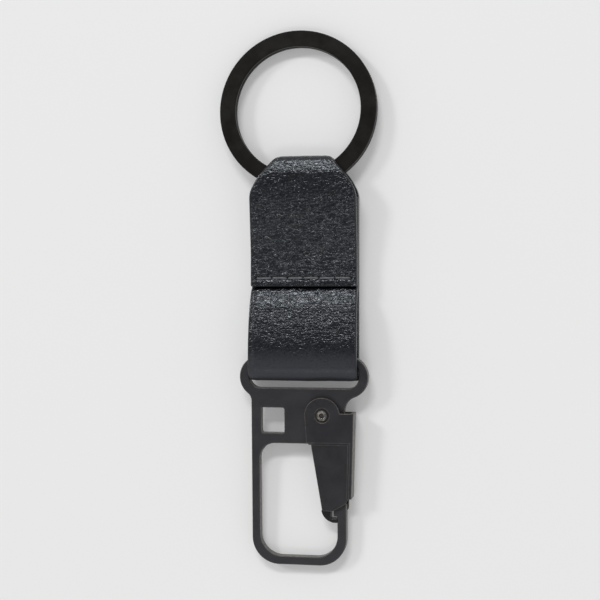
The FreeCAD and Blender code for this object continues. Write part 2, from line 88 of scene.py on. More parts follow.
def build_camera():
    data = bpy.data.cameras.new("camera")
    data.lens = CAMERA_LENS
    data.clip_start = CAMERA_NEAR
    camera = bpy.data.objects.new("camera", data)
    bpy.context.scene.collection.objects.link(camera)
    back = Vector((math.sin(CAMERA_TILT), 0, math.cos(CAMERA_TILT)))
    camera.location = CAMERA_LOOKS_AT + back * CAMERA_AWAY
    camera.rotation_euler = (0, CAMERA_TILT, 0)
    bpy.context.scene.camera = camera


def build_key():
    data = bpy.data.lights.new("key", "SUN")
    data.energy = KEY_POWER
    data.angle = KEY_ANGLE
    key = bpy.data.objects.new("key", data)
    key.rotation_euler = KEY_DIRECTION.to_track_quat("-Z", "Y").to_euler()
    bpy.context.scene.collection.objects.link(key)


def build_soft_boxes():
    for name, (towards, away, width, height, radiance) in SOFT_BOXES.items():
        data = bpy.data.lights.new(name, "AREA")
        data.shape = "RECTANGLE"
        data.size = width
        data.size_y = height
        data.energy = radiance * math.pi * width * height
        box = bpy.data.objects.new(name, data)
        box.location = towards.normalized() * away
        box.rotation_euler = (-towards).to_track_quat("-Z", "Y").to_euler()
        bpy.context.scene.collection.objects.link(box)


def build_world():
    """A pale tent of light, dimmer overhead than at its sides."""
    world = bpy.data.worlds.new("tent")
    bpy.context.scene.world = world
    world.use_nodes = True
    tree = world.node_tree
    background = tree.nodes["Background"]
    direction = tree.nodes.new("ShaderNodeTexCoord")
    split = tree.nodes.new("ShaderNodeSeparateXYZ")
    square = tree.nodes.new("ShaderNodeMath")
    square.operation = "POWER"
    square.inputs[1].default_value = 2
    level = tree.nodes.new("ShaderNodeMapRange")
    level.inputs["To Min"].default_value = HORIZON_LIGHT
    level.inputs["To Max"].default_value = ZENITH_LIGHT
    tree.links.new(direction.outputs["Generated"], split.inputs[0])
    tree.links.new(split.outputs["Z"], square.inputs[0])
    tree.links.new(square.outputs[0], level.inputs["Value"])
    tree.links.new(level.outputs[0], background.inputs["Strength"])
    background.inputs["Color"].default_value = (1, 1, 1, 1)


# ---------------------------------------------------------------- material helpers


class Graph:
    """A material's node tree with short ways to add the nodes that the materials here share."""

    def __init__(self, name):
        self.material = bpy.data.materials.new(name)
        self.material.use_nodes = True
        self.tree = self.material.node_tree
        self.shader = self.tree.nodes["Principled BSDF"]

    def feed(self, socket, value):
        if isinstance(value, bpy.types.NodeSocket):
            self.tree.links.new(value, socket)
        elif value is not None:
            socket.default_value = value

    def node(self, kind, settings=None, **inputs):
        node = self.tree.nodes.new(kind)
        for key, value in (settings or {}).items():
            setattr(node, key, value)
        for key, value in inputs.items():
            self.feed(node.inputs[key.replace("_", " ")], value)
        return node

    def math(self, operation, a, b=None):
        node = self.node("ShaderNodeMath", {"operation": operation})
        self.feed(node.inputs[0], a)
        self.feed(node.inputs[1], b)
        return node.outputs[0]

    def ramp(self, value, low, high, start=0.0, end=1.0):
        node = self.node("ShaderNodeMapRange", {"interpolation_type": "SMOOTHSTEP"}, Value=value)
        limits = {"From Min": low, "From Max": high, "To Min": start, "To Max": end}
        for key, number in limits.items():
            self.feed(node.inputs[key], number)
        return node.outputs[0]

    def noise(self, vector, scale, detail=2.0, roughness=0.5):
        node = self.node(
            "ShaderNodeTexNoise", None, Vector=vector, Scale=scale, Detail=detail, Roughness=roughness
        )
        return node.outputs["Fac"]

    def cell_edges(self, vector, scale):
        """Distance from the edges between cells."""
        settings = {"feature": "DISTANCE_TO_EDGE"}
        return self.node("ShaderNodeTexVoronoi", settings, Vector=vector, Scale=scale).outputs["Distance"]

    def stretch(self, vector, scale, turn=0.0):
        node = self.node("ShaderNodeMapping", None, Vector=vector)
        node.inputs["Scale"].default_value = scale
        node.inputs["Rotation"].default_value = (0, 0, turn)
        return node.outputs[0]

    def blend(self, share, first, second):
        node = self.node("ShaderNodeMix", {"data_type": "RGBA"})
        self.feed(node.inputs[0], share)
        self.feed(node.inputs[6], first)
        self.feed(node.inputs[7], second)
        return node.outputs[2]

    def attribute(self, name):
        return self.node("ShaderNodeAttribute", {"attribute_name": name}).outputs["Fac"]

    def place(self):
        return self.node("ShaderNodeTexCoord").outputs["Object"]

    def vector_math(self, operation, vector, other=None, output="Vector"):
        node = self.node("ShaderNodeVectorMath", {"operation": operation})
        self.feed(node.inputs[0], vector)
        self.feed(node.inputs[1], other)
        return node.outputs[output]

    def from_axis(self, place, centre):
        """Distance from the upright line through a point."""
        spoke = self.vector_math("SUBTRACT", place, centre)
        flat = self.vector_math("MULTIPLY", spoke, (1, 1, 0))
        return self.vector_math("LENGTH", flat, output="Value")

    def bump(self, height, distance, normal=None):
        node = self.node("ShaderNodeBump", None, Height=height, Distance=distance)
        self.feed(node.inputs["Normal"], normal)
        return node.outputs[0]

    def rounded(self, radius):
        """Normals that turn smoothly over sharp edges."""
        return self.node("ShaderNodeBevel", {"samples": 6}, Radius=radius).outputs[0]

    def edges(self, radius):
        """1 on a sharp outer edge and 0 away from it."""
        plain = self.node("ShaderNodeNewGeometry").outputs["Normal"]
        match = self.vector_math("DOT_PRODUCT", self.rounded(radius), plain, "Value")
        return self.ramp(match, 0.995, 0.90)

    def walls(self):
        """1 on upright walls and 0 on flat faces, in the object's own axes."""
        normal = self.node("ShaderNodeTexCoord").outputs["Normal"]
        upright = self.node("ShaderNodeSeparateXYZ")
        self.feed(upright.inputs[0], normal)
        return self.ramp(self.math("ABSOLUTE", upright.outputs["Z"]), 0.75, 0.35)

    def finish(self, **inputs):
        for key, value in inputs.items():
            self.feed(self.shader.inputs[key.replace("_", " ")], value)
        return self.material


# ---------------------------------------------------------------- materials

# The first leather colour is painted shade laid in the grain's valleys; the second is the pebbles' own
# colour.
LEATHER_VALLEY_SHADE = (0.0018, 0.0018, 0.0032, 1)
LEATHER_PEAK = (0.0038, 0.0038, 0.0072, 1)
LEATHER_WORN = (0.006, 0.006, 0.0105, 1)
# A lighter colour where the grain is flattened at the clip's bend: a painted sheen.
LEATHER_SMOOTH_SHEEN = (0.0200, 0.0190, 0.0250, 1)
EDGE_PAINT = (0.012, 0.012, 0.013, 1)
LEATHER_RELIEF = 0.065 * MM


def leather():
    """Black pebbled leather with creases; its edges are painted smooth."""
    g = Graph("leather")
    uv = g.node("ShaderNodeUVMap", {"uv_map": "skin_map"}).outputs[0]
    painted = g.attribute("painted")
    grain = g.attribute("grain")
    creased = g.attribute("creased")
    drift = g.node("ShaderNodeTexNoise", None, Vector=uv, Scale=0.9, Detail=2.5).outputs["Color"]
    warped = g.node("ShaderNodeVectorMath", {"operation": "MULTIPLY_ADD"})
    g.feed(warped.inputs[0], drift)
    warped.inputs[1].default_value = (0.8, 0.8, 0.0)
    g.feed(warped.inputs[2], uv)
    skin = warped.outputs[0]
    wide = g.stretch(skin, (1.0, 1.7, 1.0), math.radians(-6))
    valley = g.ramp(g.cell_edges(wide, 1.35), 0.0, 0.32)
    uneven = g.noise(wide, 1.5, 1.5, 0.5)
    fine = g.noise(uv, 4.5, 1.5, 0.5)
    pebble = g.math("ADD", g.math("MULTIPLY", valley, 0.45), g.math("MULTIPLY", uneven, 1.7))
    pebble = g.math("MULTIPLY", g.math("ADD", pebble, g.math("MULTIPLY", fine, 0.30)), grain)
    lines = g.noise(g.stretch(skin, (0.30, 1.3, 1.0), math.radians(-8)), 1.0, 2.0, 0.5)
    line = g.ramp(g.math("ABSOLUTE", g.math("SUBTRACT", lines, 0.5)), 0.0, 0.06)
    relief = g.math("ADD", pebble, g.math("MULTIPLY", g.math("MULTIPLY", line, creased), 0.9))
    relief = g.math("MULTIPLY", relief, g.math("SUBTRACT", 1.0, painted))
    normal = g.bump(relief, LEATHER_RELIEF)
    # Painted shade: the grain's valleys are coloured darker than its pebbles.
    tone = g.blend(g.math("MULTIPLY", valley, grain), LEATHER_VALLEY_SHADE, LEATHER_PEAK)
    tone = g.blend(g.ramp(g.noise(uv, 0.35, 3.0), 0.35, 0.7, 0.0, 0.35), tone, LEATHER_WORN)
    # At the clip's bend the grain is flattened and the gloss is broader, and the colour is lightened there
    # as a painted sheen.
    smooth = g.ramp(grain, 0.62, 0.12)
    tone = g.blend(smooth, tone, LEATHER_SMOOTH_SHEEN)
    tone = g.blend(painted, tone, EDGE_PAINT)
    rough = g.ramp(g.noise(uv, 2.6, 3.0), 0.3, 0.7, 0.17, 0.25)
    rough = g.math("ADD", rough, g.math("MULTIPLY", g.math("SUBTRACT", 1.0, valley), 0.08))
    rough = g.math("ADD", rough, g.math("MULTIPLY", smooth, 0.20))
    g.finish(Specular_IOR_Level=0.72, Specular_Tint=(0.88, 0.94, 1.0, 1))
    return g.finish(Base_Color=tone, Roughness=rough, Normal=normal)


def thread():
    """Waxed black thread: fibres run along each ply."""
    g = Graph("thread")
    uv = g.node("ShaderNodeUVMap", {"uv_map": "fibre"}).outputs[0]
    fibre = g.noise(g.stretch(uv, (1.0, 9.0, 1.0)), 3.0, 3.0, 0.6)
    tone = g.blend(fibre, (0.055, 0.057, 0.062, 1), (0.185, 0.19, 0.205, 1))
    rough = g.ramp(fibre, 0.3, 0.7, 0.42, 0.30)
    return g.finish(Base_Color=tone, Roughness=rough, Normal=g.bump(fibre, 0.03 * MM))


def coated_metal(name, dark, light, worn, rough, thin=0.0):
    """Satin black coat, rubbed at its edges; thin is how much bare metal shows through on its walls."""
    g = Graph(name)
    place = g.place()
    cloud = g.noise(place, 260.0, 4.0, 0.6)
    satin = g.noise(place, 2600.0, 3.0, 0.65)
    patchy = g.ramp(g.noise(place, 900.0, 3.0), 0.35, 0.65, 0.45, 1.0)
    rubbed = g.math("MULTIPLY", g.edges(0.22 * MM), patchy)
    if thin:
        speckled = g.ramp(g.noise(place, 1700.0, 3.0), 0.35, 0.65, 0.35 * thin, thin)
        rubbed = g.math("MAXIMUM", rubbed, g.math("MULTIPLY", g.walls(), speckled))
    tone = g.blend(rubbed, g.blend(g.ramp(cloud, 0.3, 0.7), dark, light), worn)
    gloss = g.ramp(satin, 0.3, 0.7, *rough)
    smudge = g.ramp(cloud, 0.35, 0.7, -0.03, 0.04)
    g.finish(Base_Color=tone, Roughness=g.math("ADD", gloss, smudge))
    return g, place, satin


def coated_sheet(edge_round, *coat):
    """Coated metal whose sharp edges look rounded; coat is what coated_metal takes."""
    g, _, satin = coated_metal(*coat)
    return g.finish(Normal=g.bump(satin, 0.006 * MM, normal=g.rounded(edge_round)))


def clip_black():
    dark, light, worn = (0.0235, 0.0225, 0.0275, 1), (0.028, 0.027, 0.032, 1), (0.30, 0.27, 0.21, 1)
    return coated_sheet(0.15 * MM, "clip_black", dark, light, worn, (0.34, 0.44), 0.35)


def gate_black():
    dark, light, worn = (0.0155, 0.015, 0.0195, 1), (0.0205, 0.020, 0.025, 1), (0.17, 0.155, 0.12, 1)
    return coated_sheet(0.15 * MM, "gate_black", dark, light, worn, (0.32, 0.42), 0.80)


def nose_shaded_black():
    # A darker copy of the gate's black coat: painted shade for the hook's deep recess.
    dark, light, worn = (0.006, 0.006, 0.0068, 1), (0.010, 0.010, 0.011, 1), (0.05, 0.05, 0.055, 1)
    return coated_sheet(0.12 * MM, "nose_shaded_black", dark, light, worn, (0.22, 0.30))


def ring_black():
    """Flat ring wire: faint turned lines run round the ring."""
    dark, light, worn = (0.0085, 0.0076, 0.0068, 1), (0.0145, 0.0135, 0.0122, 1), (0.03, 0.027, 0.023, 1)
    g, place, satin = coated_metal("ring_black", dark, light, worn, (0.30, 0.40))
    low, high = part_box("split_ring")
    around = g.node("ShaderNodeCombineXYZ")
    g.feed(around.inputs[0], g.from_axis(place, (low + high) / 2))
    lines = g.noise(around.outputs[0], 5200.0, 2.0, 0.7)
    relief = g.math("ADD", g.math("MULTIPLY", lines, 0.6), g.math("MULTIPLY", satin, 0.4))
    return g.finish(Normal=g.bump(relief, 0.005 * MM), Specular_IOR_Level=0.14)


def rivet_black():
    """Rolled rivet: plating worn through to warm bright metal on the rolled lip, dark in the dimple."""
    g = Graph("rivet_black")
    place = g.place()
    pivot = JOINTS["gate_pivot"]
    axis = Vector(pivot["axis"]).normalized()
    start = Vector(pivot["pos_m"])
    head = start + axis * ((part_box("gate_rivet")[1].z - start.z) / axis.z)
    away = g.from_axis(place, head)
    lip = g.math("MULTIPLY", g.ramp(away, 0.48 * MM, 0.58 * MM), g.ramp(away, 0.94 * MM, 0.86 * MM))
    speck = g.ramp(g.noise(place, 1500.0, 3.0), 0.36, 0.58, 0.25, 1.0)
    bare = g.math("MULTIPLY", lip, speck)
    tone = g.blend(bare, (0.016, 0.015, 0.016, 1), (0.62, 0.56, 0.50, 1))
    rough = g.ramp(g.noise(place, 3000.0, 2.0), 0.3, 0.7, 0.22, 0.36)
    normal = g.bump(speck, 0.004 * MM, normal=g.rounded(0.12 * MM))
    return g.finish(Base_Color=tone, Roughness=rough, Metallic=g.ramp(bare, 0.0, 0.5), Normal=normal)


def spring_steel():
    """Bare drawn wire with fine lines along it."""
    g = Graph("spring_steel")
    uv = g.node("ShaderNodeUVMap", {"uv_map": "fibre"}).outputs[0]
    drawn = g.noise(g.stretch(uv, (0.4, 14.0, 1.0)), 2.0, 3.0)
    tone = g.blend(drawn, (0.30, 0.30, 0.31, 1), (0.55, 0.55, 0.56, 1))
    rough = g.ramp(drawn, 0.3, 0.7, 0.22, 0.38)
    return g.finish(Base_Color=tone, Roughness=rough, Metallic=1.0, Normal=g.bump(drawn, 0.004 * MM))


def floor_paper():
    g = Graph("floor_paper")
    place = g.place()
    cloud = g.noise(place, 3.0, 2.0)
    tooth = g.noise(place, 1800.0, 2.0)
    dark = tuple(0.997 * c for c in FLOOR_TONE) + (1,)
    tone = g.blend(cloud, dark, FLOOR_TONE + (1,))
    g.finish(Emission_Color=(1, 1, 1, 1), Emission_Strength=FLOOR_GLOW)
    g.finish(Base_Color=tone, Roughness=0.9, Specular_IOR_Level=0.1)
    return g.finish(Normal=g.bump(tooth, 0.002 * MM))


# ---------------------------------------------------------------- mesh helpers


def unit(vector):
    return vector / np.linalg.norm(vector)


def rounded_route(points):
    """Points of straight runs joined by tangent arcs; a corner is (y, z, bend radius)."""
    steps = 40
    spots = [np.array(p[:2]) for p in points]
    dense = [spots[0]]
    for before, here, after, point in zip(spots, spots[1:], spots[2:], points[1:]):
        back = unit(before - here)
        ahead = unit(after - here)
        half = math.acos(np.clip(back @ ahead, -1, 1)) / 2
        reach = point[2] / math.tan(half)
        centre = here + unit(back + ahead) * point[2] / math.sin(half)
        start = here + back * reach - centre
        turn = math.pi - 2 * half
        if start[0] * (ahead - back)[1] - start[1] * (ahead - back)[0] < 0:
            turn = -turn
        for angle in np.linspace(0, turn, steps + 1):
            spin = np.array([[math.cos(angle), -math.sin(angle)], [math.sin(angle), math.cos(angle)]])
            dense.append(centre + spin @ start)
    dense.append(spots[-1])
    return np.array(dense)


def lengths_along(path):
    return np.concatenate([[0], np.cumsum(np.linalg.norm(np.diff(path, axis=0), axis=1))])


def at_lengths(path, wanted):
    along = lengths_along(path)
    return np.stack([np.interp(wanted, along, path[:, i]) for i in range(path.shape[1])], axis=1)


def smooth_step(value, low, high):
    share = np.clip((value - low) / (high - low), 0, 1)
    return share * share * (3 - 2 * share)


def hill(value, middle, spread):
    return np.exp(-(((value - middle) / spread) ** 2))


def between(value, rise, fall):
    """1 along a stretch that fades in over rise and out over fall, both in millimetres."""
    start = smooth_step(value, rise[0] * MM, rise[1] * MM)
    return start * (1 - smooth_step(value, fall[0] * MM, fall[1] * MM))


def noise_field(u, v, seed):
    """Smooth noise from -1 to 1 at points given in cells of its grid."""
    table = np.random.default_rng(seed).uniform(-1, 1, (256, 256))
    column, row = np.floor(u).astype(int), np.floor(v).astype(int)
    across, along = u - column, v - row
    across = across * across * (3 - 2 * across)
    along = along * along * (3 - 2 * along)

    def corner(i, j):
        return table[(column + i) % 256, (row + j) % 256]

    low = corner(0, 0) * (1 - across) + corner(1, 0) * across
    high = corner(0, 1) * (1 - across) + corner(1, 1) * across
    return low * (1 - along) + high * along


def mesh_object(name, vertices, faces, material):
    mesh = bpy.data.meshes.new(name)
    mesh.from_pydata([tuple(v) for v in vertices], [], faces)
    mesh.validate()
    mesh.update()
    mesh.polygons.foreach_set("use_smooth", [True] * len(mesh.polygons))
    mesh.materials.append(material)
    piece = bpy.data.objects.new(name, mesh)
    bpy.context.scene.collection.objects.link(piece)
    return piece


def tube_faces(rings, around):
    """Quads of a closed tube of rings, with a cap on each end."""
    faces = []
    for i in range(rings - 1):
        for j in range(around):
            following = (j + 1) % around
            here, there = i * around, (i + 1) * around
            faces.append((here + j, here + following, there + following, there + j))
    faces.append(tuple(range(around))[::-1])
    faces.append(tuple(range((rings - 1) * around, rings * around)))
    return faces


def set_uv(mesh, name, u, v):
    """A UV map from one (u, v) pair for each vertex."""
    layer = mesh.uv_layers.new(name=name)
    corners = np.empty(len(mesh.loops), np.int32)
    mesh.loops.foreach_get("vertex_index", corners)
    pairs = np.stack([u[corners], v[corners]], axis=1)
    layer.data.foreach_set("uv", pairs.astype(np.float32).ravel())


def set_value(mesh, name, values):
    layer = mesh.attributes.new(name, "FLOAT", "POINT")
    layer.data.foreach_set("value", values.astype(np.float32))


# ---------------------------------------------------------------- leather strap

STRAP_LOW, STRAP_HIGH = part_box("strap")
STRAP_X = (STRAP_LOW.x + STRAP_HIGH.x) / 2
RING_END = STRAP_HIGH.y
CLIP_END = STRAP_LOW.y
THICK = 1.2 * MM
LAYER_GAP = 0.03 * MM
RING_HOLLOW = 2.4 * MM
FLAP_EDGE = RING_END - 24.5 * MM
SEAM_Y = (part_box("stitch_thread_front")[0].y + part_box("stitch_thread_front")[1].y) / 2
STITCH_PITCH = 3 * MM
STITCHES = 6
# Half width of the strip at distances below the ring end, where its corners are cut away.
TAPER = (
    (-0.2, 4.9),
    (0.0, 5.1),
    (1.8, 6.62),
    (3.7, 8.24),
    (5.0, 9.1),
    (6.5, 9.88),
    (7.6, 10.12),
    (9.0, 10.12),
)
TAPER_SOFTENING = 0.3
CLIP_LOOP_EXTRA = 0.18 * MM
CUT_ROUND = 0.3 * MM
# Gentle unevenness of the skin: cell size and depth in millimetres, turn in radians and seed of each layer.
LEATHER_WAVES = ((4.3, 0.035, 0.6, 11), (2.3, 0.028, 2.1, 12), (1.3, 0.018, 1.2, 13))
WAVE_START = (40.3, 20.7)
# Creases: stretch of the strip, depth in millimetres, turn in degrees and seed of each set.
CREASES = (
    ("low flap", 0.12, 8, 21),
    ("low flap", 0.08, -16, 31),
    ("flap", 0.045, 10, 41),
    ("slope", 0.050, 36, 51),
    ("all", 0.012, 20, 61),
)
# Stretches of the strip in millimetres from its tucked end: where each fades in and out.
CLIP_LOOP = ((16, 28), (36, 40))
CLIP_BEND = ((24, 34), (39, 42))
SHINY_RISE = ((15, 17), (19.5, 24))
# The same from the flap's edge, and how far along the strip the ring fold is from there.
LOW_FLAP = ((1.2, 3.0), (9, 20))
CREASED_FLAP = ((1.0, 2.6), (8, 20))
CALM_FLAP = ((6, 16), (25, 27))
FLAP_LENGTH = 26.5 * MM
STEP_ALONG = 0.2 * MM
SEAM_ZONE = 0.7
SEAM_ROWS = 18
TOP_COLUMNS = 100
UNDER_COLUMNS = 14
EDGE_ROUND = 0.34 * MM


def strap_route():
    """Middle of the strip from the tucked end, round the clip's bar, along the back and over the ring."""
    half = THICK / 2
    tucked = half + THICK + LAYER_GAP
    flap = half + 2 * (THICK + LAYER_GAP)
    front = STRAP_HIGH.z - half
    ring_top = half + THICK + RING_HOLLOW
    clip_bend = (front - half) / 2 - 0.001 * MM
    return [
        (RING_END - 7.7 * MM, tucked),
        (RING_END - 24.7 * MM, tucked, 0.8 * MM),
        (RING_END - 25.4 * MM, half + 2.05 * MM, 1.5 * MM),
        (RING_END - 27.9 * MM, half + 3.15 * MM, 7 * MM),
        (RING_END - 31.2 * MM, half + 3.72 * MM, 16 * MM),
        (RING_END - 36.0 * MM, front, 25 * MM),
        (CLIP_END + half, front, clip_bend),
        (CLIP_END + half, half, clip_bend),
        (RING_END - half, half, 1.2 * MM),
        (RING_END - half, ring_top - 0.25 * MM, 1.1 * MM),
        (RING_END - 3.2 * MM, ring_top + 0.45 * MM, 4 * MM),
        (RING_END - 7.0 * MM, ring_top + 0.3 * MM, 10 * MM),
        (RING_END - 18.0 * MM, flap, 20 * MM),
        (FLAP_EDGE, flap),
    ]


def strip_rows(total, seams):
    """Distances along the strip: even steps, closer together at the seam and at both cut ends."""
    rows = list(np.arange(0.5 * MM, total - 0.5 * MM, STEP_ALONG))
    ends = np.array([0, 0.02, 0.06, 0.12, 0.2, 0.3, 0.4]) * MM
    rows += list(ends) + list(total - ends)
    for spot in seams:
        rows = [r for r in rows if abs(r - spot) > SEAM_ZONE * MM]
        rows += list(spot + np.linspace(-SEAM_ZONE, SEAM_ZONE, SEAM_ROWS) * MM)
    return np.array(sorted(rows))


def strip_loop():
    """Section of the strip as (share of the half width, distance beyond it, height, grain side, edge)."""
    half = THICK / 2
    under = 0.2 * MM
    loop = [(m, 0.0, half, 1.0, 0.0) for m in np.linspace(-1, 1, TOP_COLUMNS + 1)]
    for angle in np.linspace(0, math.pi / 2, 6)[1:]:
        reach = EDGE_ROUND * math.sin(angle)
        loop.append((1.0, reach, half - EDGE_ROUND * (1 - math.cos(angle)), math.cos(angle), 1.0))
    loop.append((1.0, EDGE_ROUND + 0.02 * MM, 0.0, 0.0, 1.0))
    for angle in np.linspace(math.pi / 2, 0, 4)[:-1]:
        reach = EDGE_ROUND - under * (1 - math.sin(angle))
        loop.append((1.0, reach, under * (1 - math.cos(angle)) - half, 0.0, 1.0))
    right = loop[TOP_COLUMNS + 1 :]
    inset = EDGE_ROUND - under
    loop += [(m, m * inset, -half, 0.0, 0.0) for m in np.linspace(1, -1, UNDER_COLUMNS + 1)]
    loop += [(-1.0, -reach, height, top, edge) for _, reach, height, top, edge in right[::-1]]
    return np.array(loop)


def seam_holes():
    return [(i - STITCHES / 2) * STITCH_PITCH for i in range(STITCHES + 1)]


def seam_relief(x, away):
    """How far the leather is drawn in by the stitches, at x across and at a distance from the seam."""
    puffed = 0.05 * MM * (hill(away, 0.8 * MM, 0.4 * MM) + hill(away, -0.7 * MM, 0.35 * MM))
    inside = smooth_step(-np.abs(x), -9.6 * MM, -9.0 * MM)
    drawn = 0.11 * MM * hill(away, 0, 0.27 * MM) * inside
    for hole in seam_holes():
        near = np.hypot(x - hole, away * 1.2)
        drawn = drawn + 0.30 * MM * hill(near, 0, 0.26 * MM)
        drawn = drawn + 0.05 * MM * hill(near, 0, 0.9 * MM)
    return puffed * inside - drawn


def crease_relief(x, up, turn, seed):
    """Long shallow creases that cross the strip at an angle."""
    along = x * math.cos(turn) + up * math.sin(turn)
    over = up * math.cos(turn) - x * math.sin(turn)
    drift = noise_field(along / (2.6 * MM), over / (2.2 * MM), seed + 1)
    line = noise_field(along / (3.4 * MM), over / (0.95 * MM) + 0.8 * drift, seed)
    return -np.clip(1 - np.abs(line) / 0.22, 0, 1) ** 1.5


def strip_half_width(y, s, nosed):
    """Half width at y on the strip, rounded at its cut ends and softened at the taper's corners."""
    below = (RING_END - y) / MM
    table = np.array(TAPER)
    half_width = 0
    for shift in (0, -TAPER_SOFTENING, TAPER_SOFTENING):
        half_width = half_width + np.interp(below + shift, table[:, 0], table[:, 1]) * MM
    return half_width / 3 - nosed + CLIP_LOOP_EXTRA * between(s, *CLIP_LOOP)


def skin_relief(x, s, share, total, seams):
    """Height of the grain side over a flat strip: crowned edges, waves, creases and the drawn-in seam."""
    relief = -0.10 * MM * smooth_step(np.abs(share), 0.9, 1.0)
    for size, depth, turn, seed in LEATHER_WAVES:
        across = (x * math.cos(turn) + s * math.sin(turn)) / (size * MM)
        down = (s * math.cos(turn) - x * math.sin(turn)) / (size * MM)
        relief = relief + depth * MM * noise_field(across + WAVE_START[0], down + WAVE_START[1], seed)
    flap = smooth_step(s, total - FLAP_LENGTH, total - FLAP_LENGTH + 2 * MM)
    stretches = {
        "low flap": flap * between(total - s, *LOW_FLAP),
        "flap": flap,
        "slope": 1 - smooth_step(s, 24 * MM, 32 * MM),
        "all": 1,
    }
    for stretch, depth, turn, seed in CREASES:
        relief = relief + depth * MM * stretches[stretch] * crease_relief(x, -s, math.radians(turn), seed)
    for seam in seams:
        relief = relief + seam_relief(x, s - seam)
    return relief


def seam_spots(path, along):
    """Distances along the strip where the seam crosses the flap and the back."""
    on_back = (path[:, 1] < THICK) & (np.gradient(path[:, 0]) > 0)
    return along[-1] - (SEAM_Y - FLAP_EDGE), np.interp(SEAM_Y, path[on_back, 0], along[on_back])


def build_strap():
    path = rounded_route(strap_route())
    along = lengths_along(path)
    total = along[-1]
    seams = seam_spots(path, along)
    rows = strip_rows(total, seams)
    centres = at_lengths(path, rows)
    nudge = 0.05 * MM
    after = at_lengths(path, np.minimum(rows + nudge, total))
    before = at_lengths(path, np.maximum(rows - nudge, 0))
    heading = after - before
    heading /= np.linalg.norm(heading, axis=1, keepdims=True)
    outward = np.stack([heading[:, 1], -heading[:, 0]], axis=1)

    loop = strip_loop()
    share, beyond, height, top, edge = (loop[:, i][None, :] for i in range(5))
    s = rows[:, None] + 0 * share
    end = np.minimum(rows, total - rows)[:, None]
    left = CUT_ROUND - end
    nosed = np.where(left > 0, CUT_ROUND - np.sqrt(np.clip(CUT_ROUND**2 - left**2, 0, None)), 0)
    offset = height - np.sign(height) * np.minimum(nosed, 0.26 * MM)
    y = centres[:, 0:1] + outward[:, 0:1] * offset
    x = share * (strip_half_width(y, s, nosed) - EDGE_ROUND) + beyond
    relief = skin_relief(x, s, share, total, seams)
    offset = offset + top * relief * smooth_step(end, 0, 0.5 * MM)

    y = centres[:, 0:1] + outward[:, 0:1] * offset
    z = np.maximum(centres[:, 1:2] + outward[:, 1:2] * offset, 0.0)
    vertices = keep_off_ring(np.stack([x + STRAP_X, y, z], axis=2).reshape(-1, 3))
    piece = mesh_object("strap_leather", vertices, tube_faces(*x.shape), leather())
    paint_strap(piece.data, x, s, total, edge + 0 * s, end + 0 * share)
    return piece


def keep_off_ring(vertices):
    """Moves leather that would touch the ring's wire out into the ring's hole."""
    low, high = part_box("split_ring")
    middle = np.array([(low.x + high.x) / 2, (low.y + high.y) / 2])
    inner = 11.85 * MM
    deepest = 1.2 * MM
    slack = 0.12 * MM
    bend_depth = 1.9 * MM
    spoke = vertices[:, :2] - middle
    away = np.linalg.norm(spoke, axis=1)
    at_bend = vertices[:, 1] > RING_END - bend_depth
    level = (vertices[:, 2] > THICK - slack) & (vertices[:, 2] < THICK + RING_HOLLOW + slack)
    inside = at_bend & level & (away > inner) & (away < inner + deepest)
    vertices[inside, :2] = middle + spoke[inside] * (inner / away[inside])[:, None]
    return vertices


def paint_strap(mesh, x, s, total, edge, end):
    """The grain's UV map, and where the leather is grainy, creased or edge-painted; where the grain fades
    at the clip's bend, the leather's colour also carries a painted sheen.
    """
    to_edge = total - s
    bend = between(s, *CLIP_BEND)
    fold = hill(to_edge, FLAP_LENGTH, 1.2 * MM)
    rise = between(s, *SHINY_RISE)
    calm = between(to_edge, *CALM_FLAP)
    grain = 0.9 - 0.78 * bend - 0.15 * fold - 0.05 * rise - 0.12 * calm
    creased = 0.15 + 0.85 * between(to_edge, *CREASED_FLAP)
    creased = creased + 0.5 * (1 - smooth_step(s, 20 * MM, 30 * MM))
    painted = np.maximum(edge, smooth_step(-end, -0.25 * MM, -0.12 * MM))
    set_uv(mesh, "skin_map", (x / MM).ravel(), (-s / MM).ravel())
    set_value(mesh, "grain", grain.ravel())
    set_value(mesh, "creased", (np.clip(creased, 0, 1) * (1 - 0.7 * bend)).ravel())
    set_value(mesh, "painted", painted.ravel())


# ---------------------------------------------------------------- swept round pieces


def sweep(path, spans, radius):
    """Rings of a tube along a 3-D path; radius(distance, angle) gives its shape."""
    path = np.array(path)
    heading = np.gradient(path, axis=0)
    heading /= np.linalg.norm(heading, axis=1, keepdims=True)
    side = unit(np.cross(heading[0], [0.31, 0.22, 0.93]))
    distance = lengths_along(path)
    angles = np.linspace(0, 2 * math.pi, spans, endpoint=False)
    rings = []
    for here, ahead, gone in zip(path, heading, distance):
        side = unit(side - ahead * (side @ ahead))
        third = np.cross(ahead, side)
        reach = radius(gone, angles)[:, None]
        rings.append(here + reach * (np.cos(angles)[:, None] * side + np.sin(angles)[:, None] * third))
    return np.array(rings), distance, angles


def swept_piece(name, path, spans, radius, material):
    rings, distance, angles = sweep(path, spans, radius)
    piece = mesh_object(name, rings.reshape(-1, 3), tube_faces(*rings.shape[:2]), material)
    around = np.tile(angles / (2 * math.pi), len(distance))
    set_uv(piece.data, "fibre", np.repeat(distance / MM, spans), around)
    return piece


# ---------------------------------------------------------------- stitches

THREAD_RADIUS = 0.2 * MM
PLY_DEPTH = 0.17
PLY_TWIST = 2 * math.pi / (1.5 * MM)
THREAD_STEP = 0.06 * MM
THREAD_SPANS = 18
THREAD_WANDER = 0.05 * MM


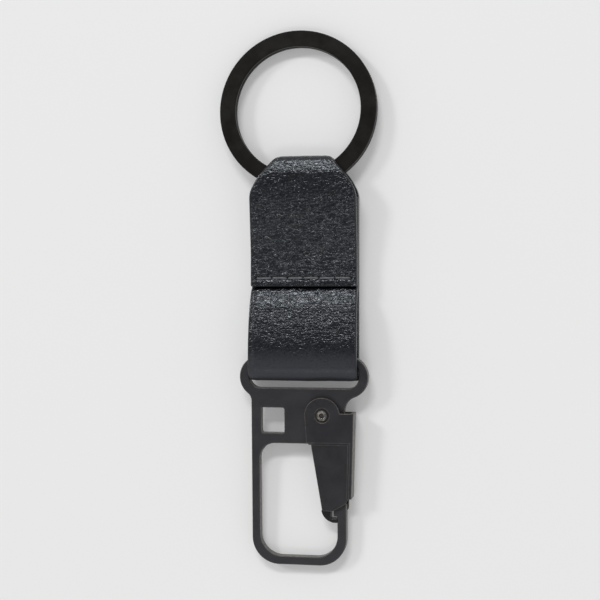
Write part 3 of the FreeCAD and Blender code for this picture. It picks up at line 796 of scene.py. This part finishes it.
def thread_route(run, turn, seed):
    """One thread of the lockstitch: flat runs over the leather that dip into each needle hole."""
    leg = 0.24 * MM
    bend = 0.22 * MM
    holes = seam_holes()
    points = [(holes[0] + leg, turn)]
    for left, right in zip(holes, holes[1:]):
        points += [(left + leg, run, bend), (right - leg, run, bend)]
        points += [(right - leg, turn, bend), (right + leg, turn, bend)]
    points = points[:-2] + [(holes[-1] - leg, turn)]
    path = rounded_route(points)
    total = lengths_along(path)[-1]
    flat = at_lengths(path, np.arange(0, total, THREAD_STEP))
    wander = THREAD_WANDER * noise_field(flat[:, 0] / (1.5 * MM) + 3, 0 * flat[:, 0], seed)
    return np.stack([flat[:, 0] + STRAP_X, SEAM_Y + wander, flat[:, 1]], axis=1)


def build_threads(material):
    """Both threads of the seam, each of three plies twisted together."""
    middle = (3 * THICK + 2 * LAYER_GAP) / 2
    gap = THREAD_RADIUS + 0.02 * MM
    threads = (
        ("front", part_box("stitch_thread_front")[1].z - THREAD_RADIUS, middle + gap, 5),
        ("back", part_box("stitch_thread_back")[0].z + THREAD_RADIUS, middle - gap, 6),
    )

    def plies(gone, angles):
        swell = np.cos(3 * (angles - PLY_TWIST * gone / 3))
        return THREAD_RADIUS * (1 - PLY_DEPTH / 2 + PLY_DEPTH / 2 * swell)

    for side, run, turn, seed in threads:
        route = thread_route(run, turn, seed)
        piece = swept_piece(f"seam_thread_{side}", route, THREAD_SPANS, plies, material)
        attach(piece, "strap")
        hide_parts(f"stitch_thread_{side}")


# ---------------------------------------------------------------- gate spring

SPRING_WIRE = 0.2 * MM
SPRING_RADIUS = 1.25 * MM
SPRING_PITCH = 0.44 * MM
SPRING_LOW = 0.30 * MM
SPRING_LEG = 2.2 * MM
FIXED_ANGLE = 110.0
FREE_ANGLE = 37.1
FREE_REACH = 4.3 * MM
WHOLE_TURNS = 2
COIL_STEPS = 48
LEG_STEPS = 12
WIRE_SPANS = 14


def build_spring(material):
    """Torsion spring round the gate's rivet, shown at rest; the real one twists as the gate turns on the
    clip.
    """
    turns = (FIXED_ANGLE + 360 * WHOLE_TURNS - FREE_ANGLE) / 360
    angles = np.radians(FIXED_ANGLE) - np.linspace(0, 2 * math.pi * turns, int(turns * COIL_STEPS))
    coil = np.stack(
        [
            SPRING_RADIUS * np.cos(angles),
            SPRING_RADIUS * np.sin(angles),
            SPRING_LOW + SPRING_PITCH * turns * np.linspace(0, 1, len(angles)),
        ],
        axis=1,
    )
    fixed = np.array([math.cos(angles[0] + math.pi / 2), math.sin(angles[0] + math.pi / 2), 0])
    free = np.array([math.sin(angles[-1]), -math.cos(angles[-1]), 0])
    steps = np.linspace(1, 0, LEG_STEPS, endpoint=False)[:, None]
    first = coil[0] + fixed * SPRING_LEG * steps
    last = coil[-1] + free * FREE_REACH * (1 - steps[1:])
    path = np.concatenate([first, coil, last])
    pivot = JOINTS["gate_pivot"]
    axis = Vector(pivot["axis"]).normalized()
    turned = Vector((0, 0, 1)).rotation_difference(axis).to_matrix()
    placed = [turned @ Vector(point) + Vector(pivot["pos_m"]) for point in path]

    def even(gone, around):
        return SPRING_WIRE + 0 * around

    piece = swept_piece("gate_spring_wire", placed, WIRE_SPANS, even, material)
    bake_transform(piece)
    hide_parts("gate_spring")


# ---------------------------------------------------------------- put together


def dress_cad():
    """Better materials on the CAD nodes that stay."""
    looks = {
        "split_ring": ring_black(),
        "clip_frame": clip_black(),
        "gate_channel": gate_black(),
        "gate_nose": nose_shaded_black(),
        "gate_rivet": rivet_black(),
    }
    for node, material in looks.items():
        mesh = frame["nodes"][node].data
        mesh.materials.clear()
        mesh.materials.append(material)


def bind_strap(piece):
    """Bakes the leather's placement into its mesh and hides the CAD strap."""
    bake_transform(piece)
    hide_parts("strap")


def build_floor():
    side = FLOOR_SIDE / 2
    corners = [(-side, -side, 0), (side, -side, 0), (side, side, 0), (-side, side, 0)]
    floor = mesh_object("floor", corners, [(0, 1, 2, 3)], floor_paper())
    floor.location.z = -FLOOR_DROP


build_camera()
build_key()
build_soft_boxes()
build_world()
build_floor()
dress_cad()
strap_piece = build_strap()
build_threads(thread())
build_spring(spring_steel())
bind_strap(strap_piece)
bpy.context.scene.view_settings.view_transform = "Standard"
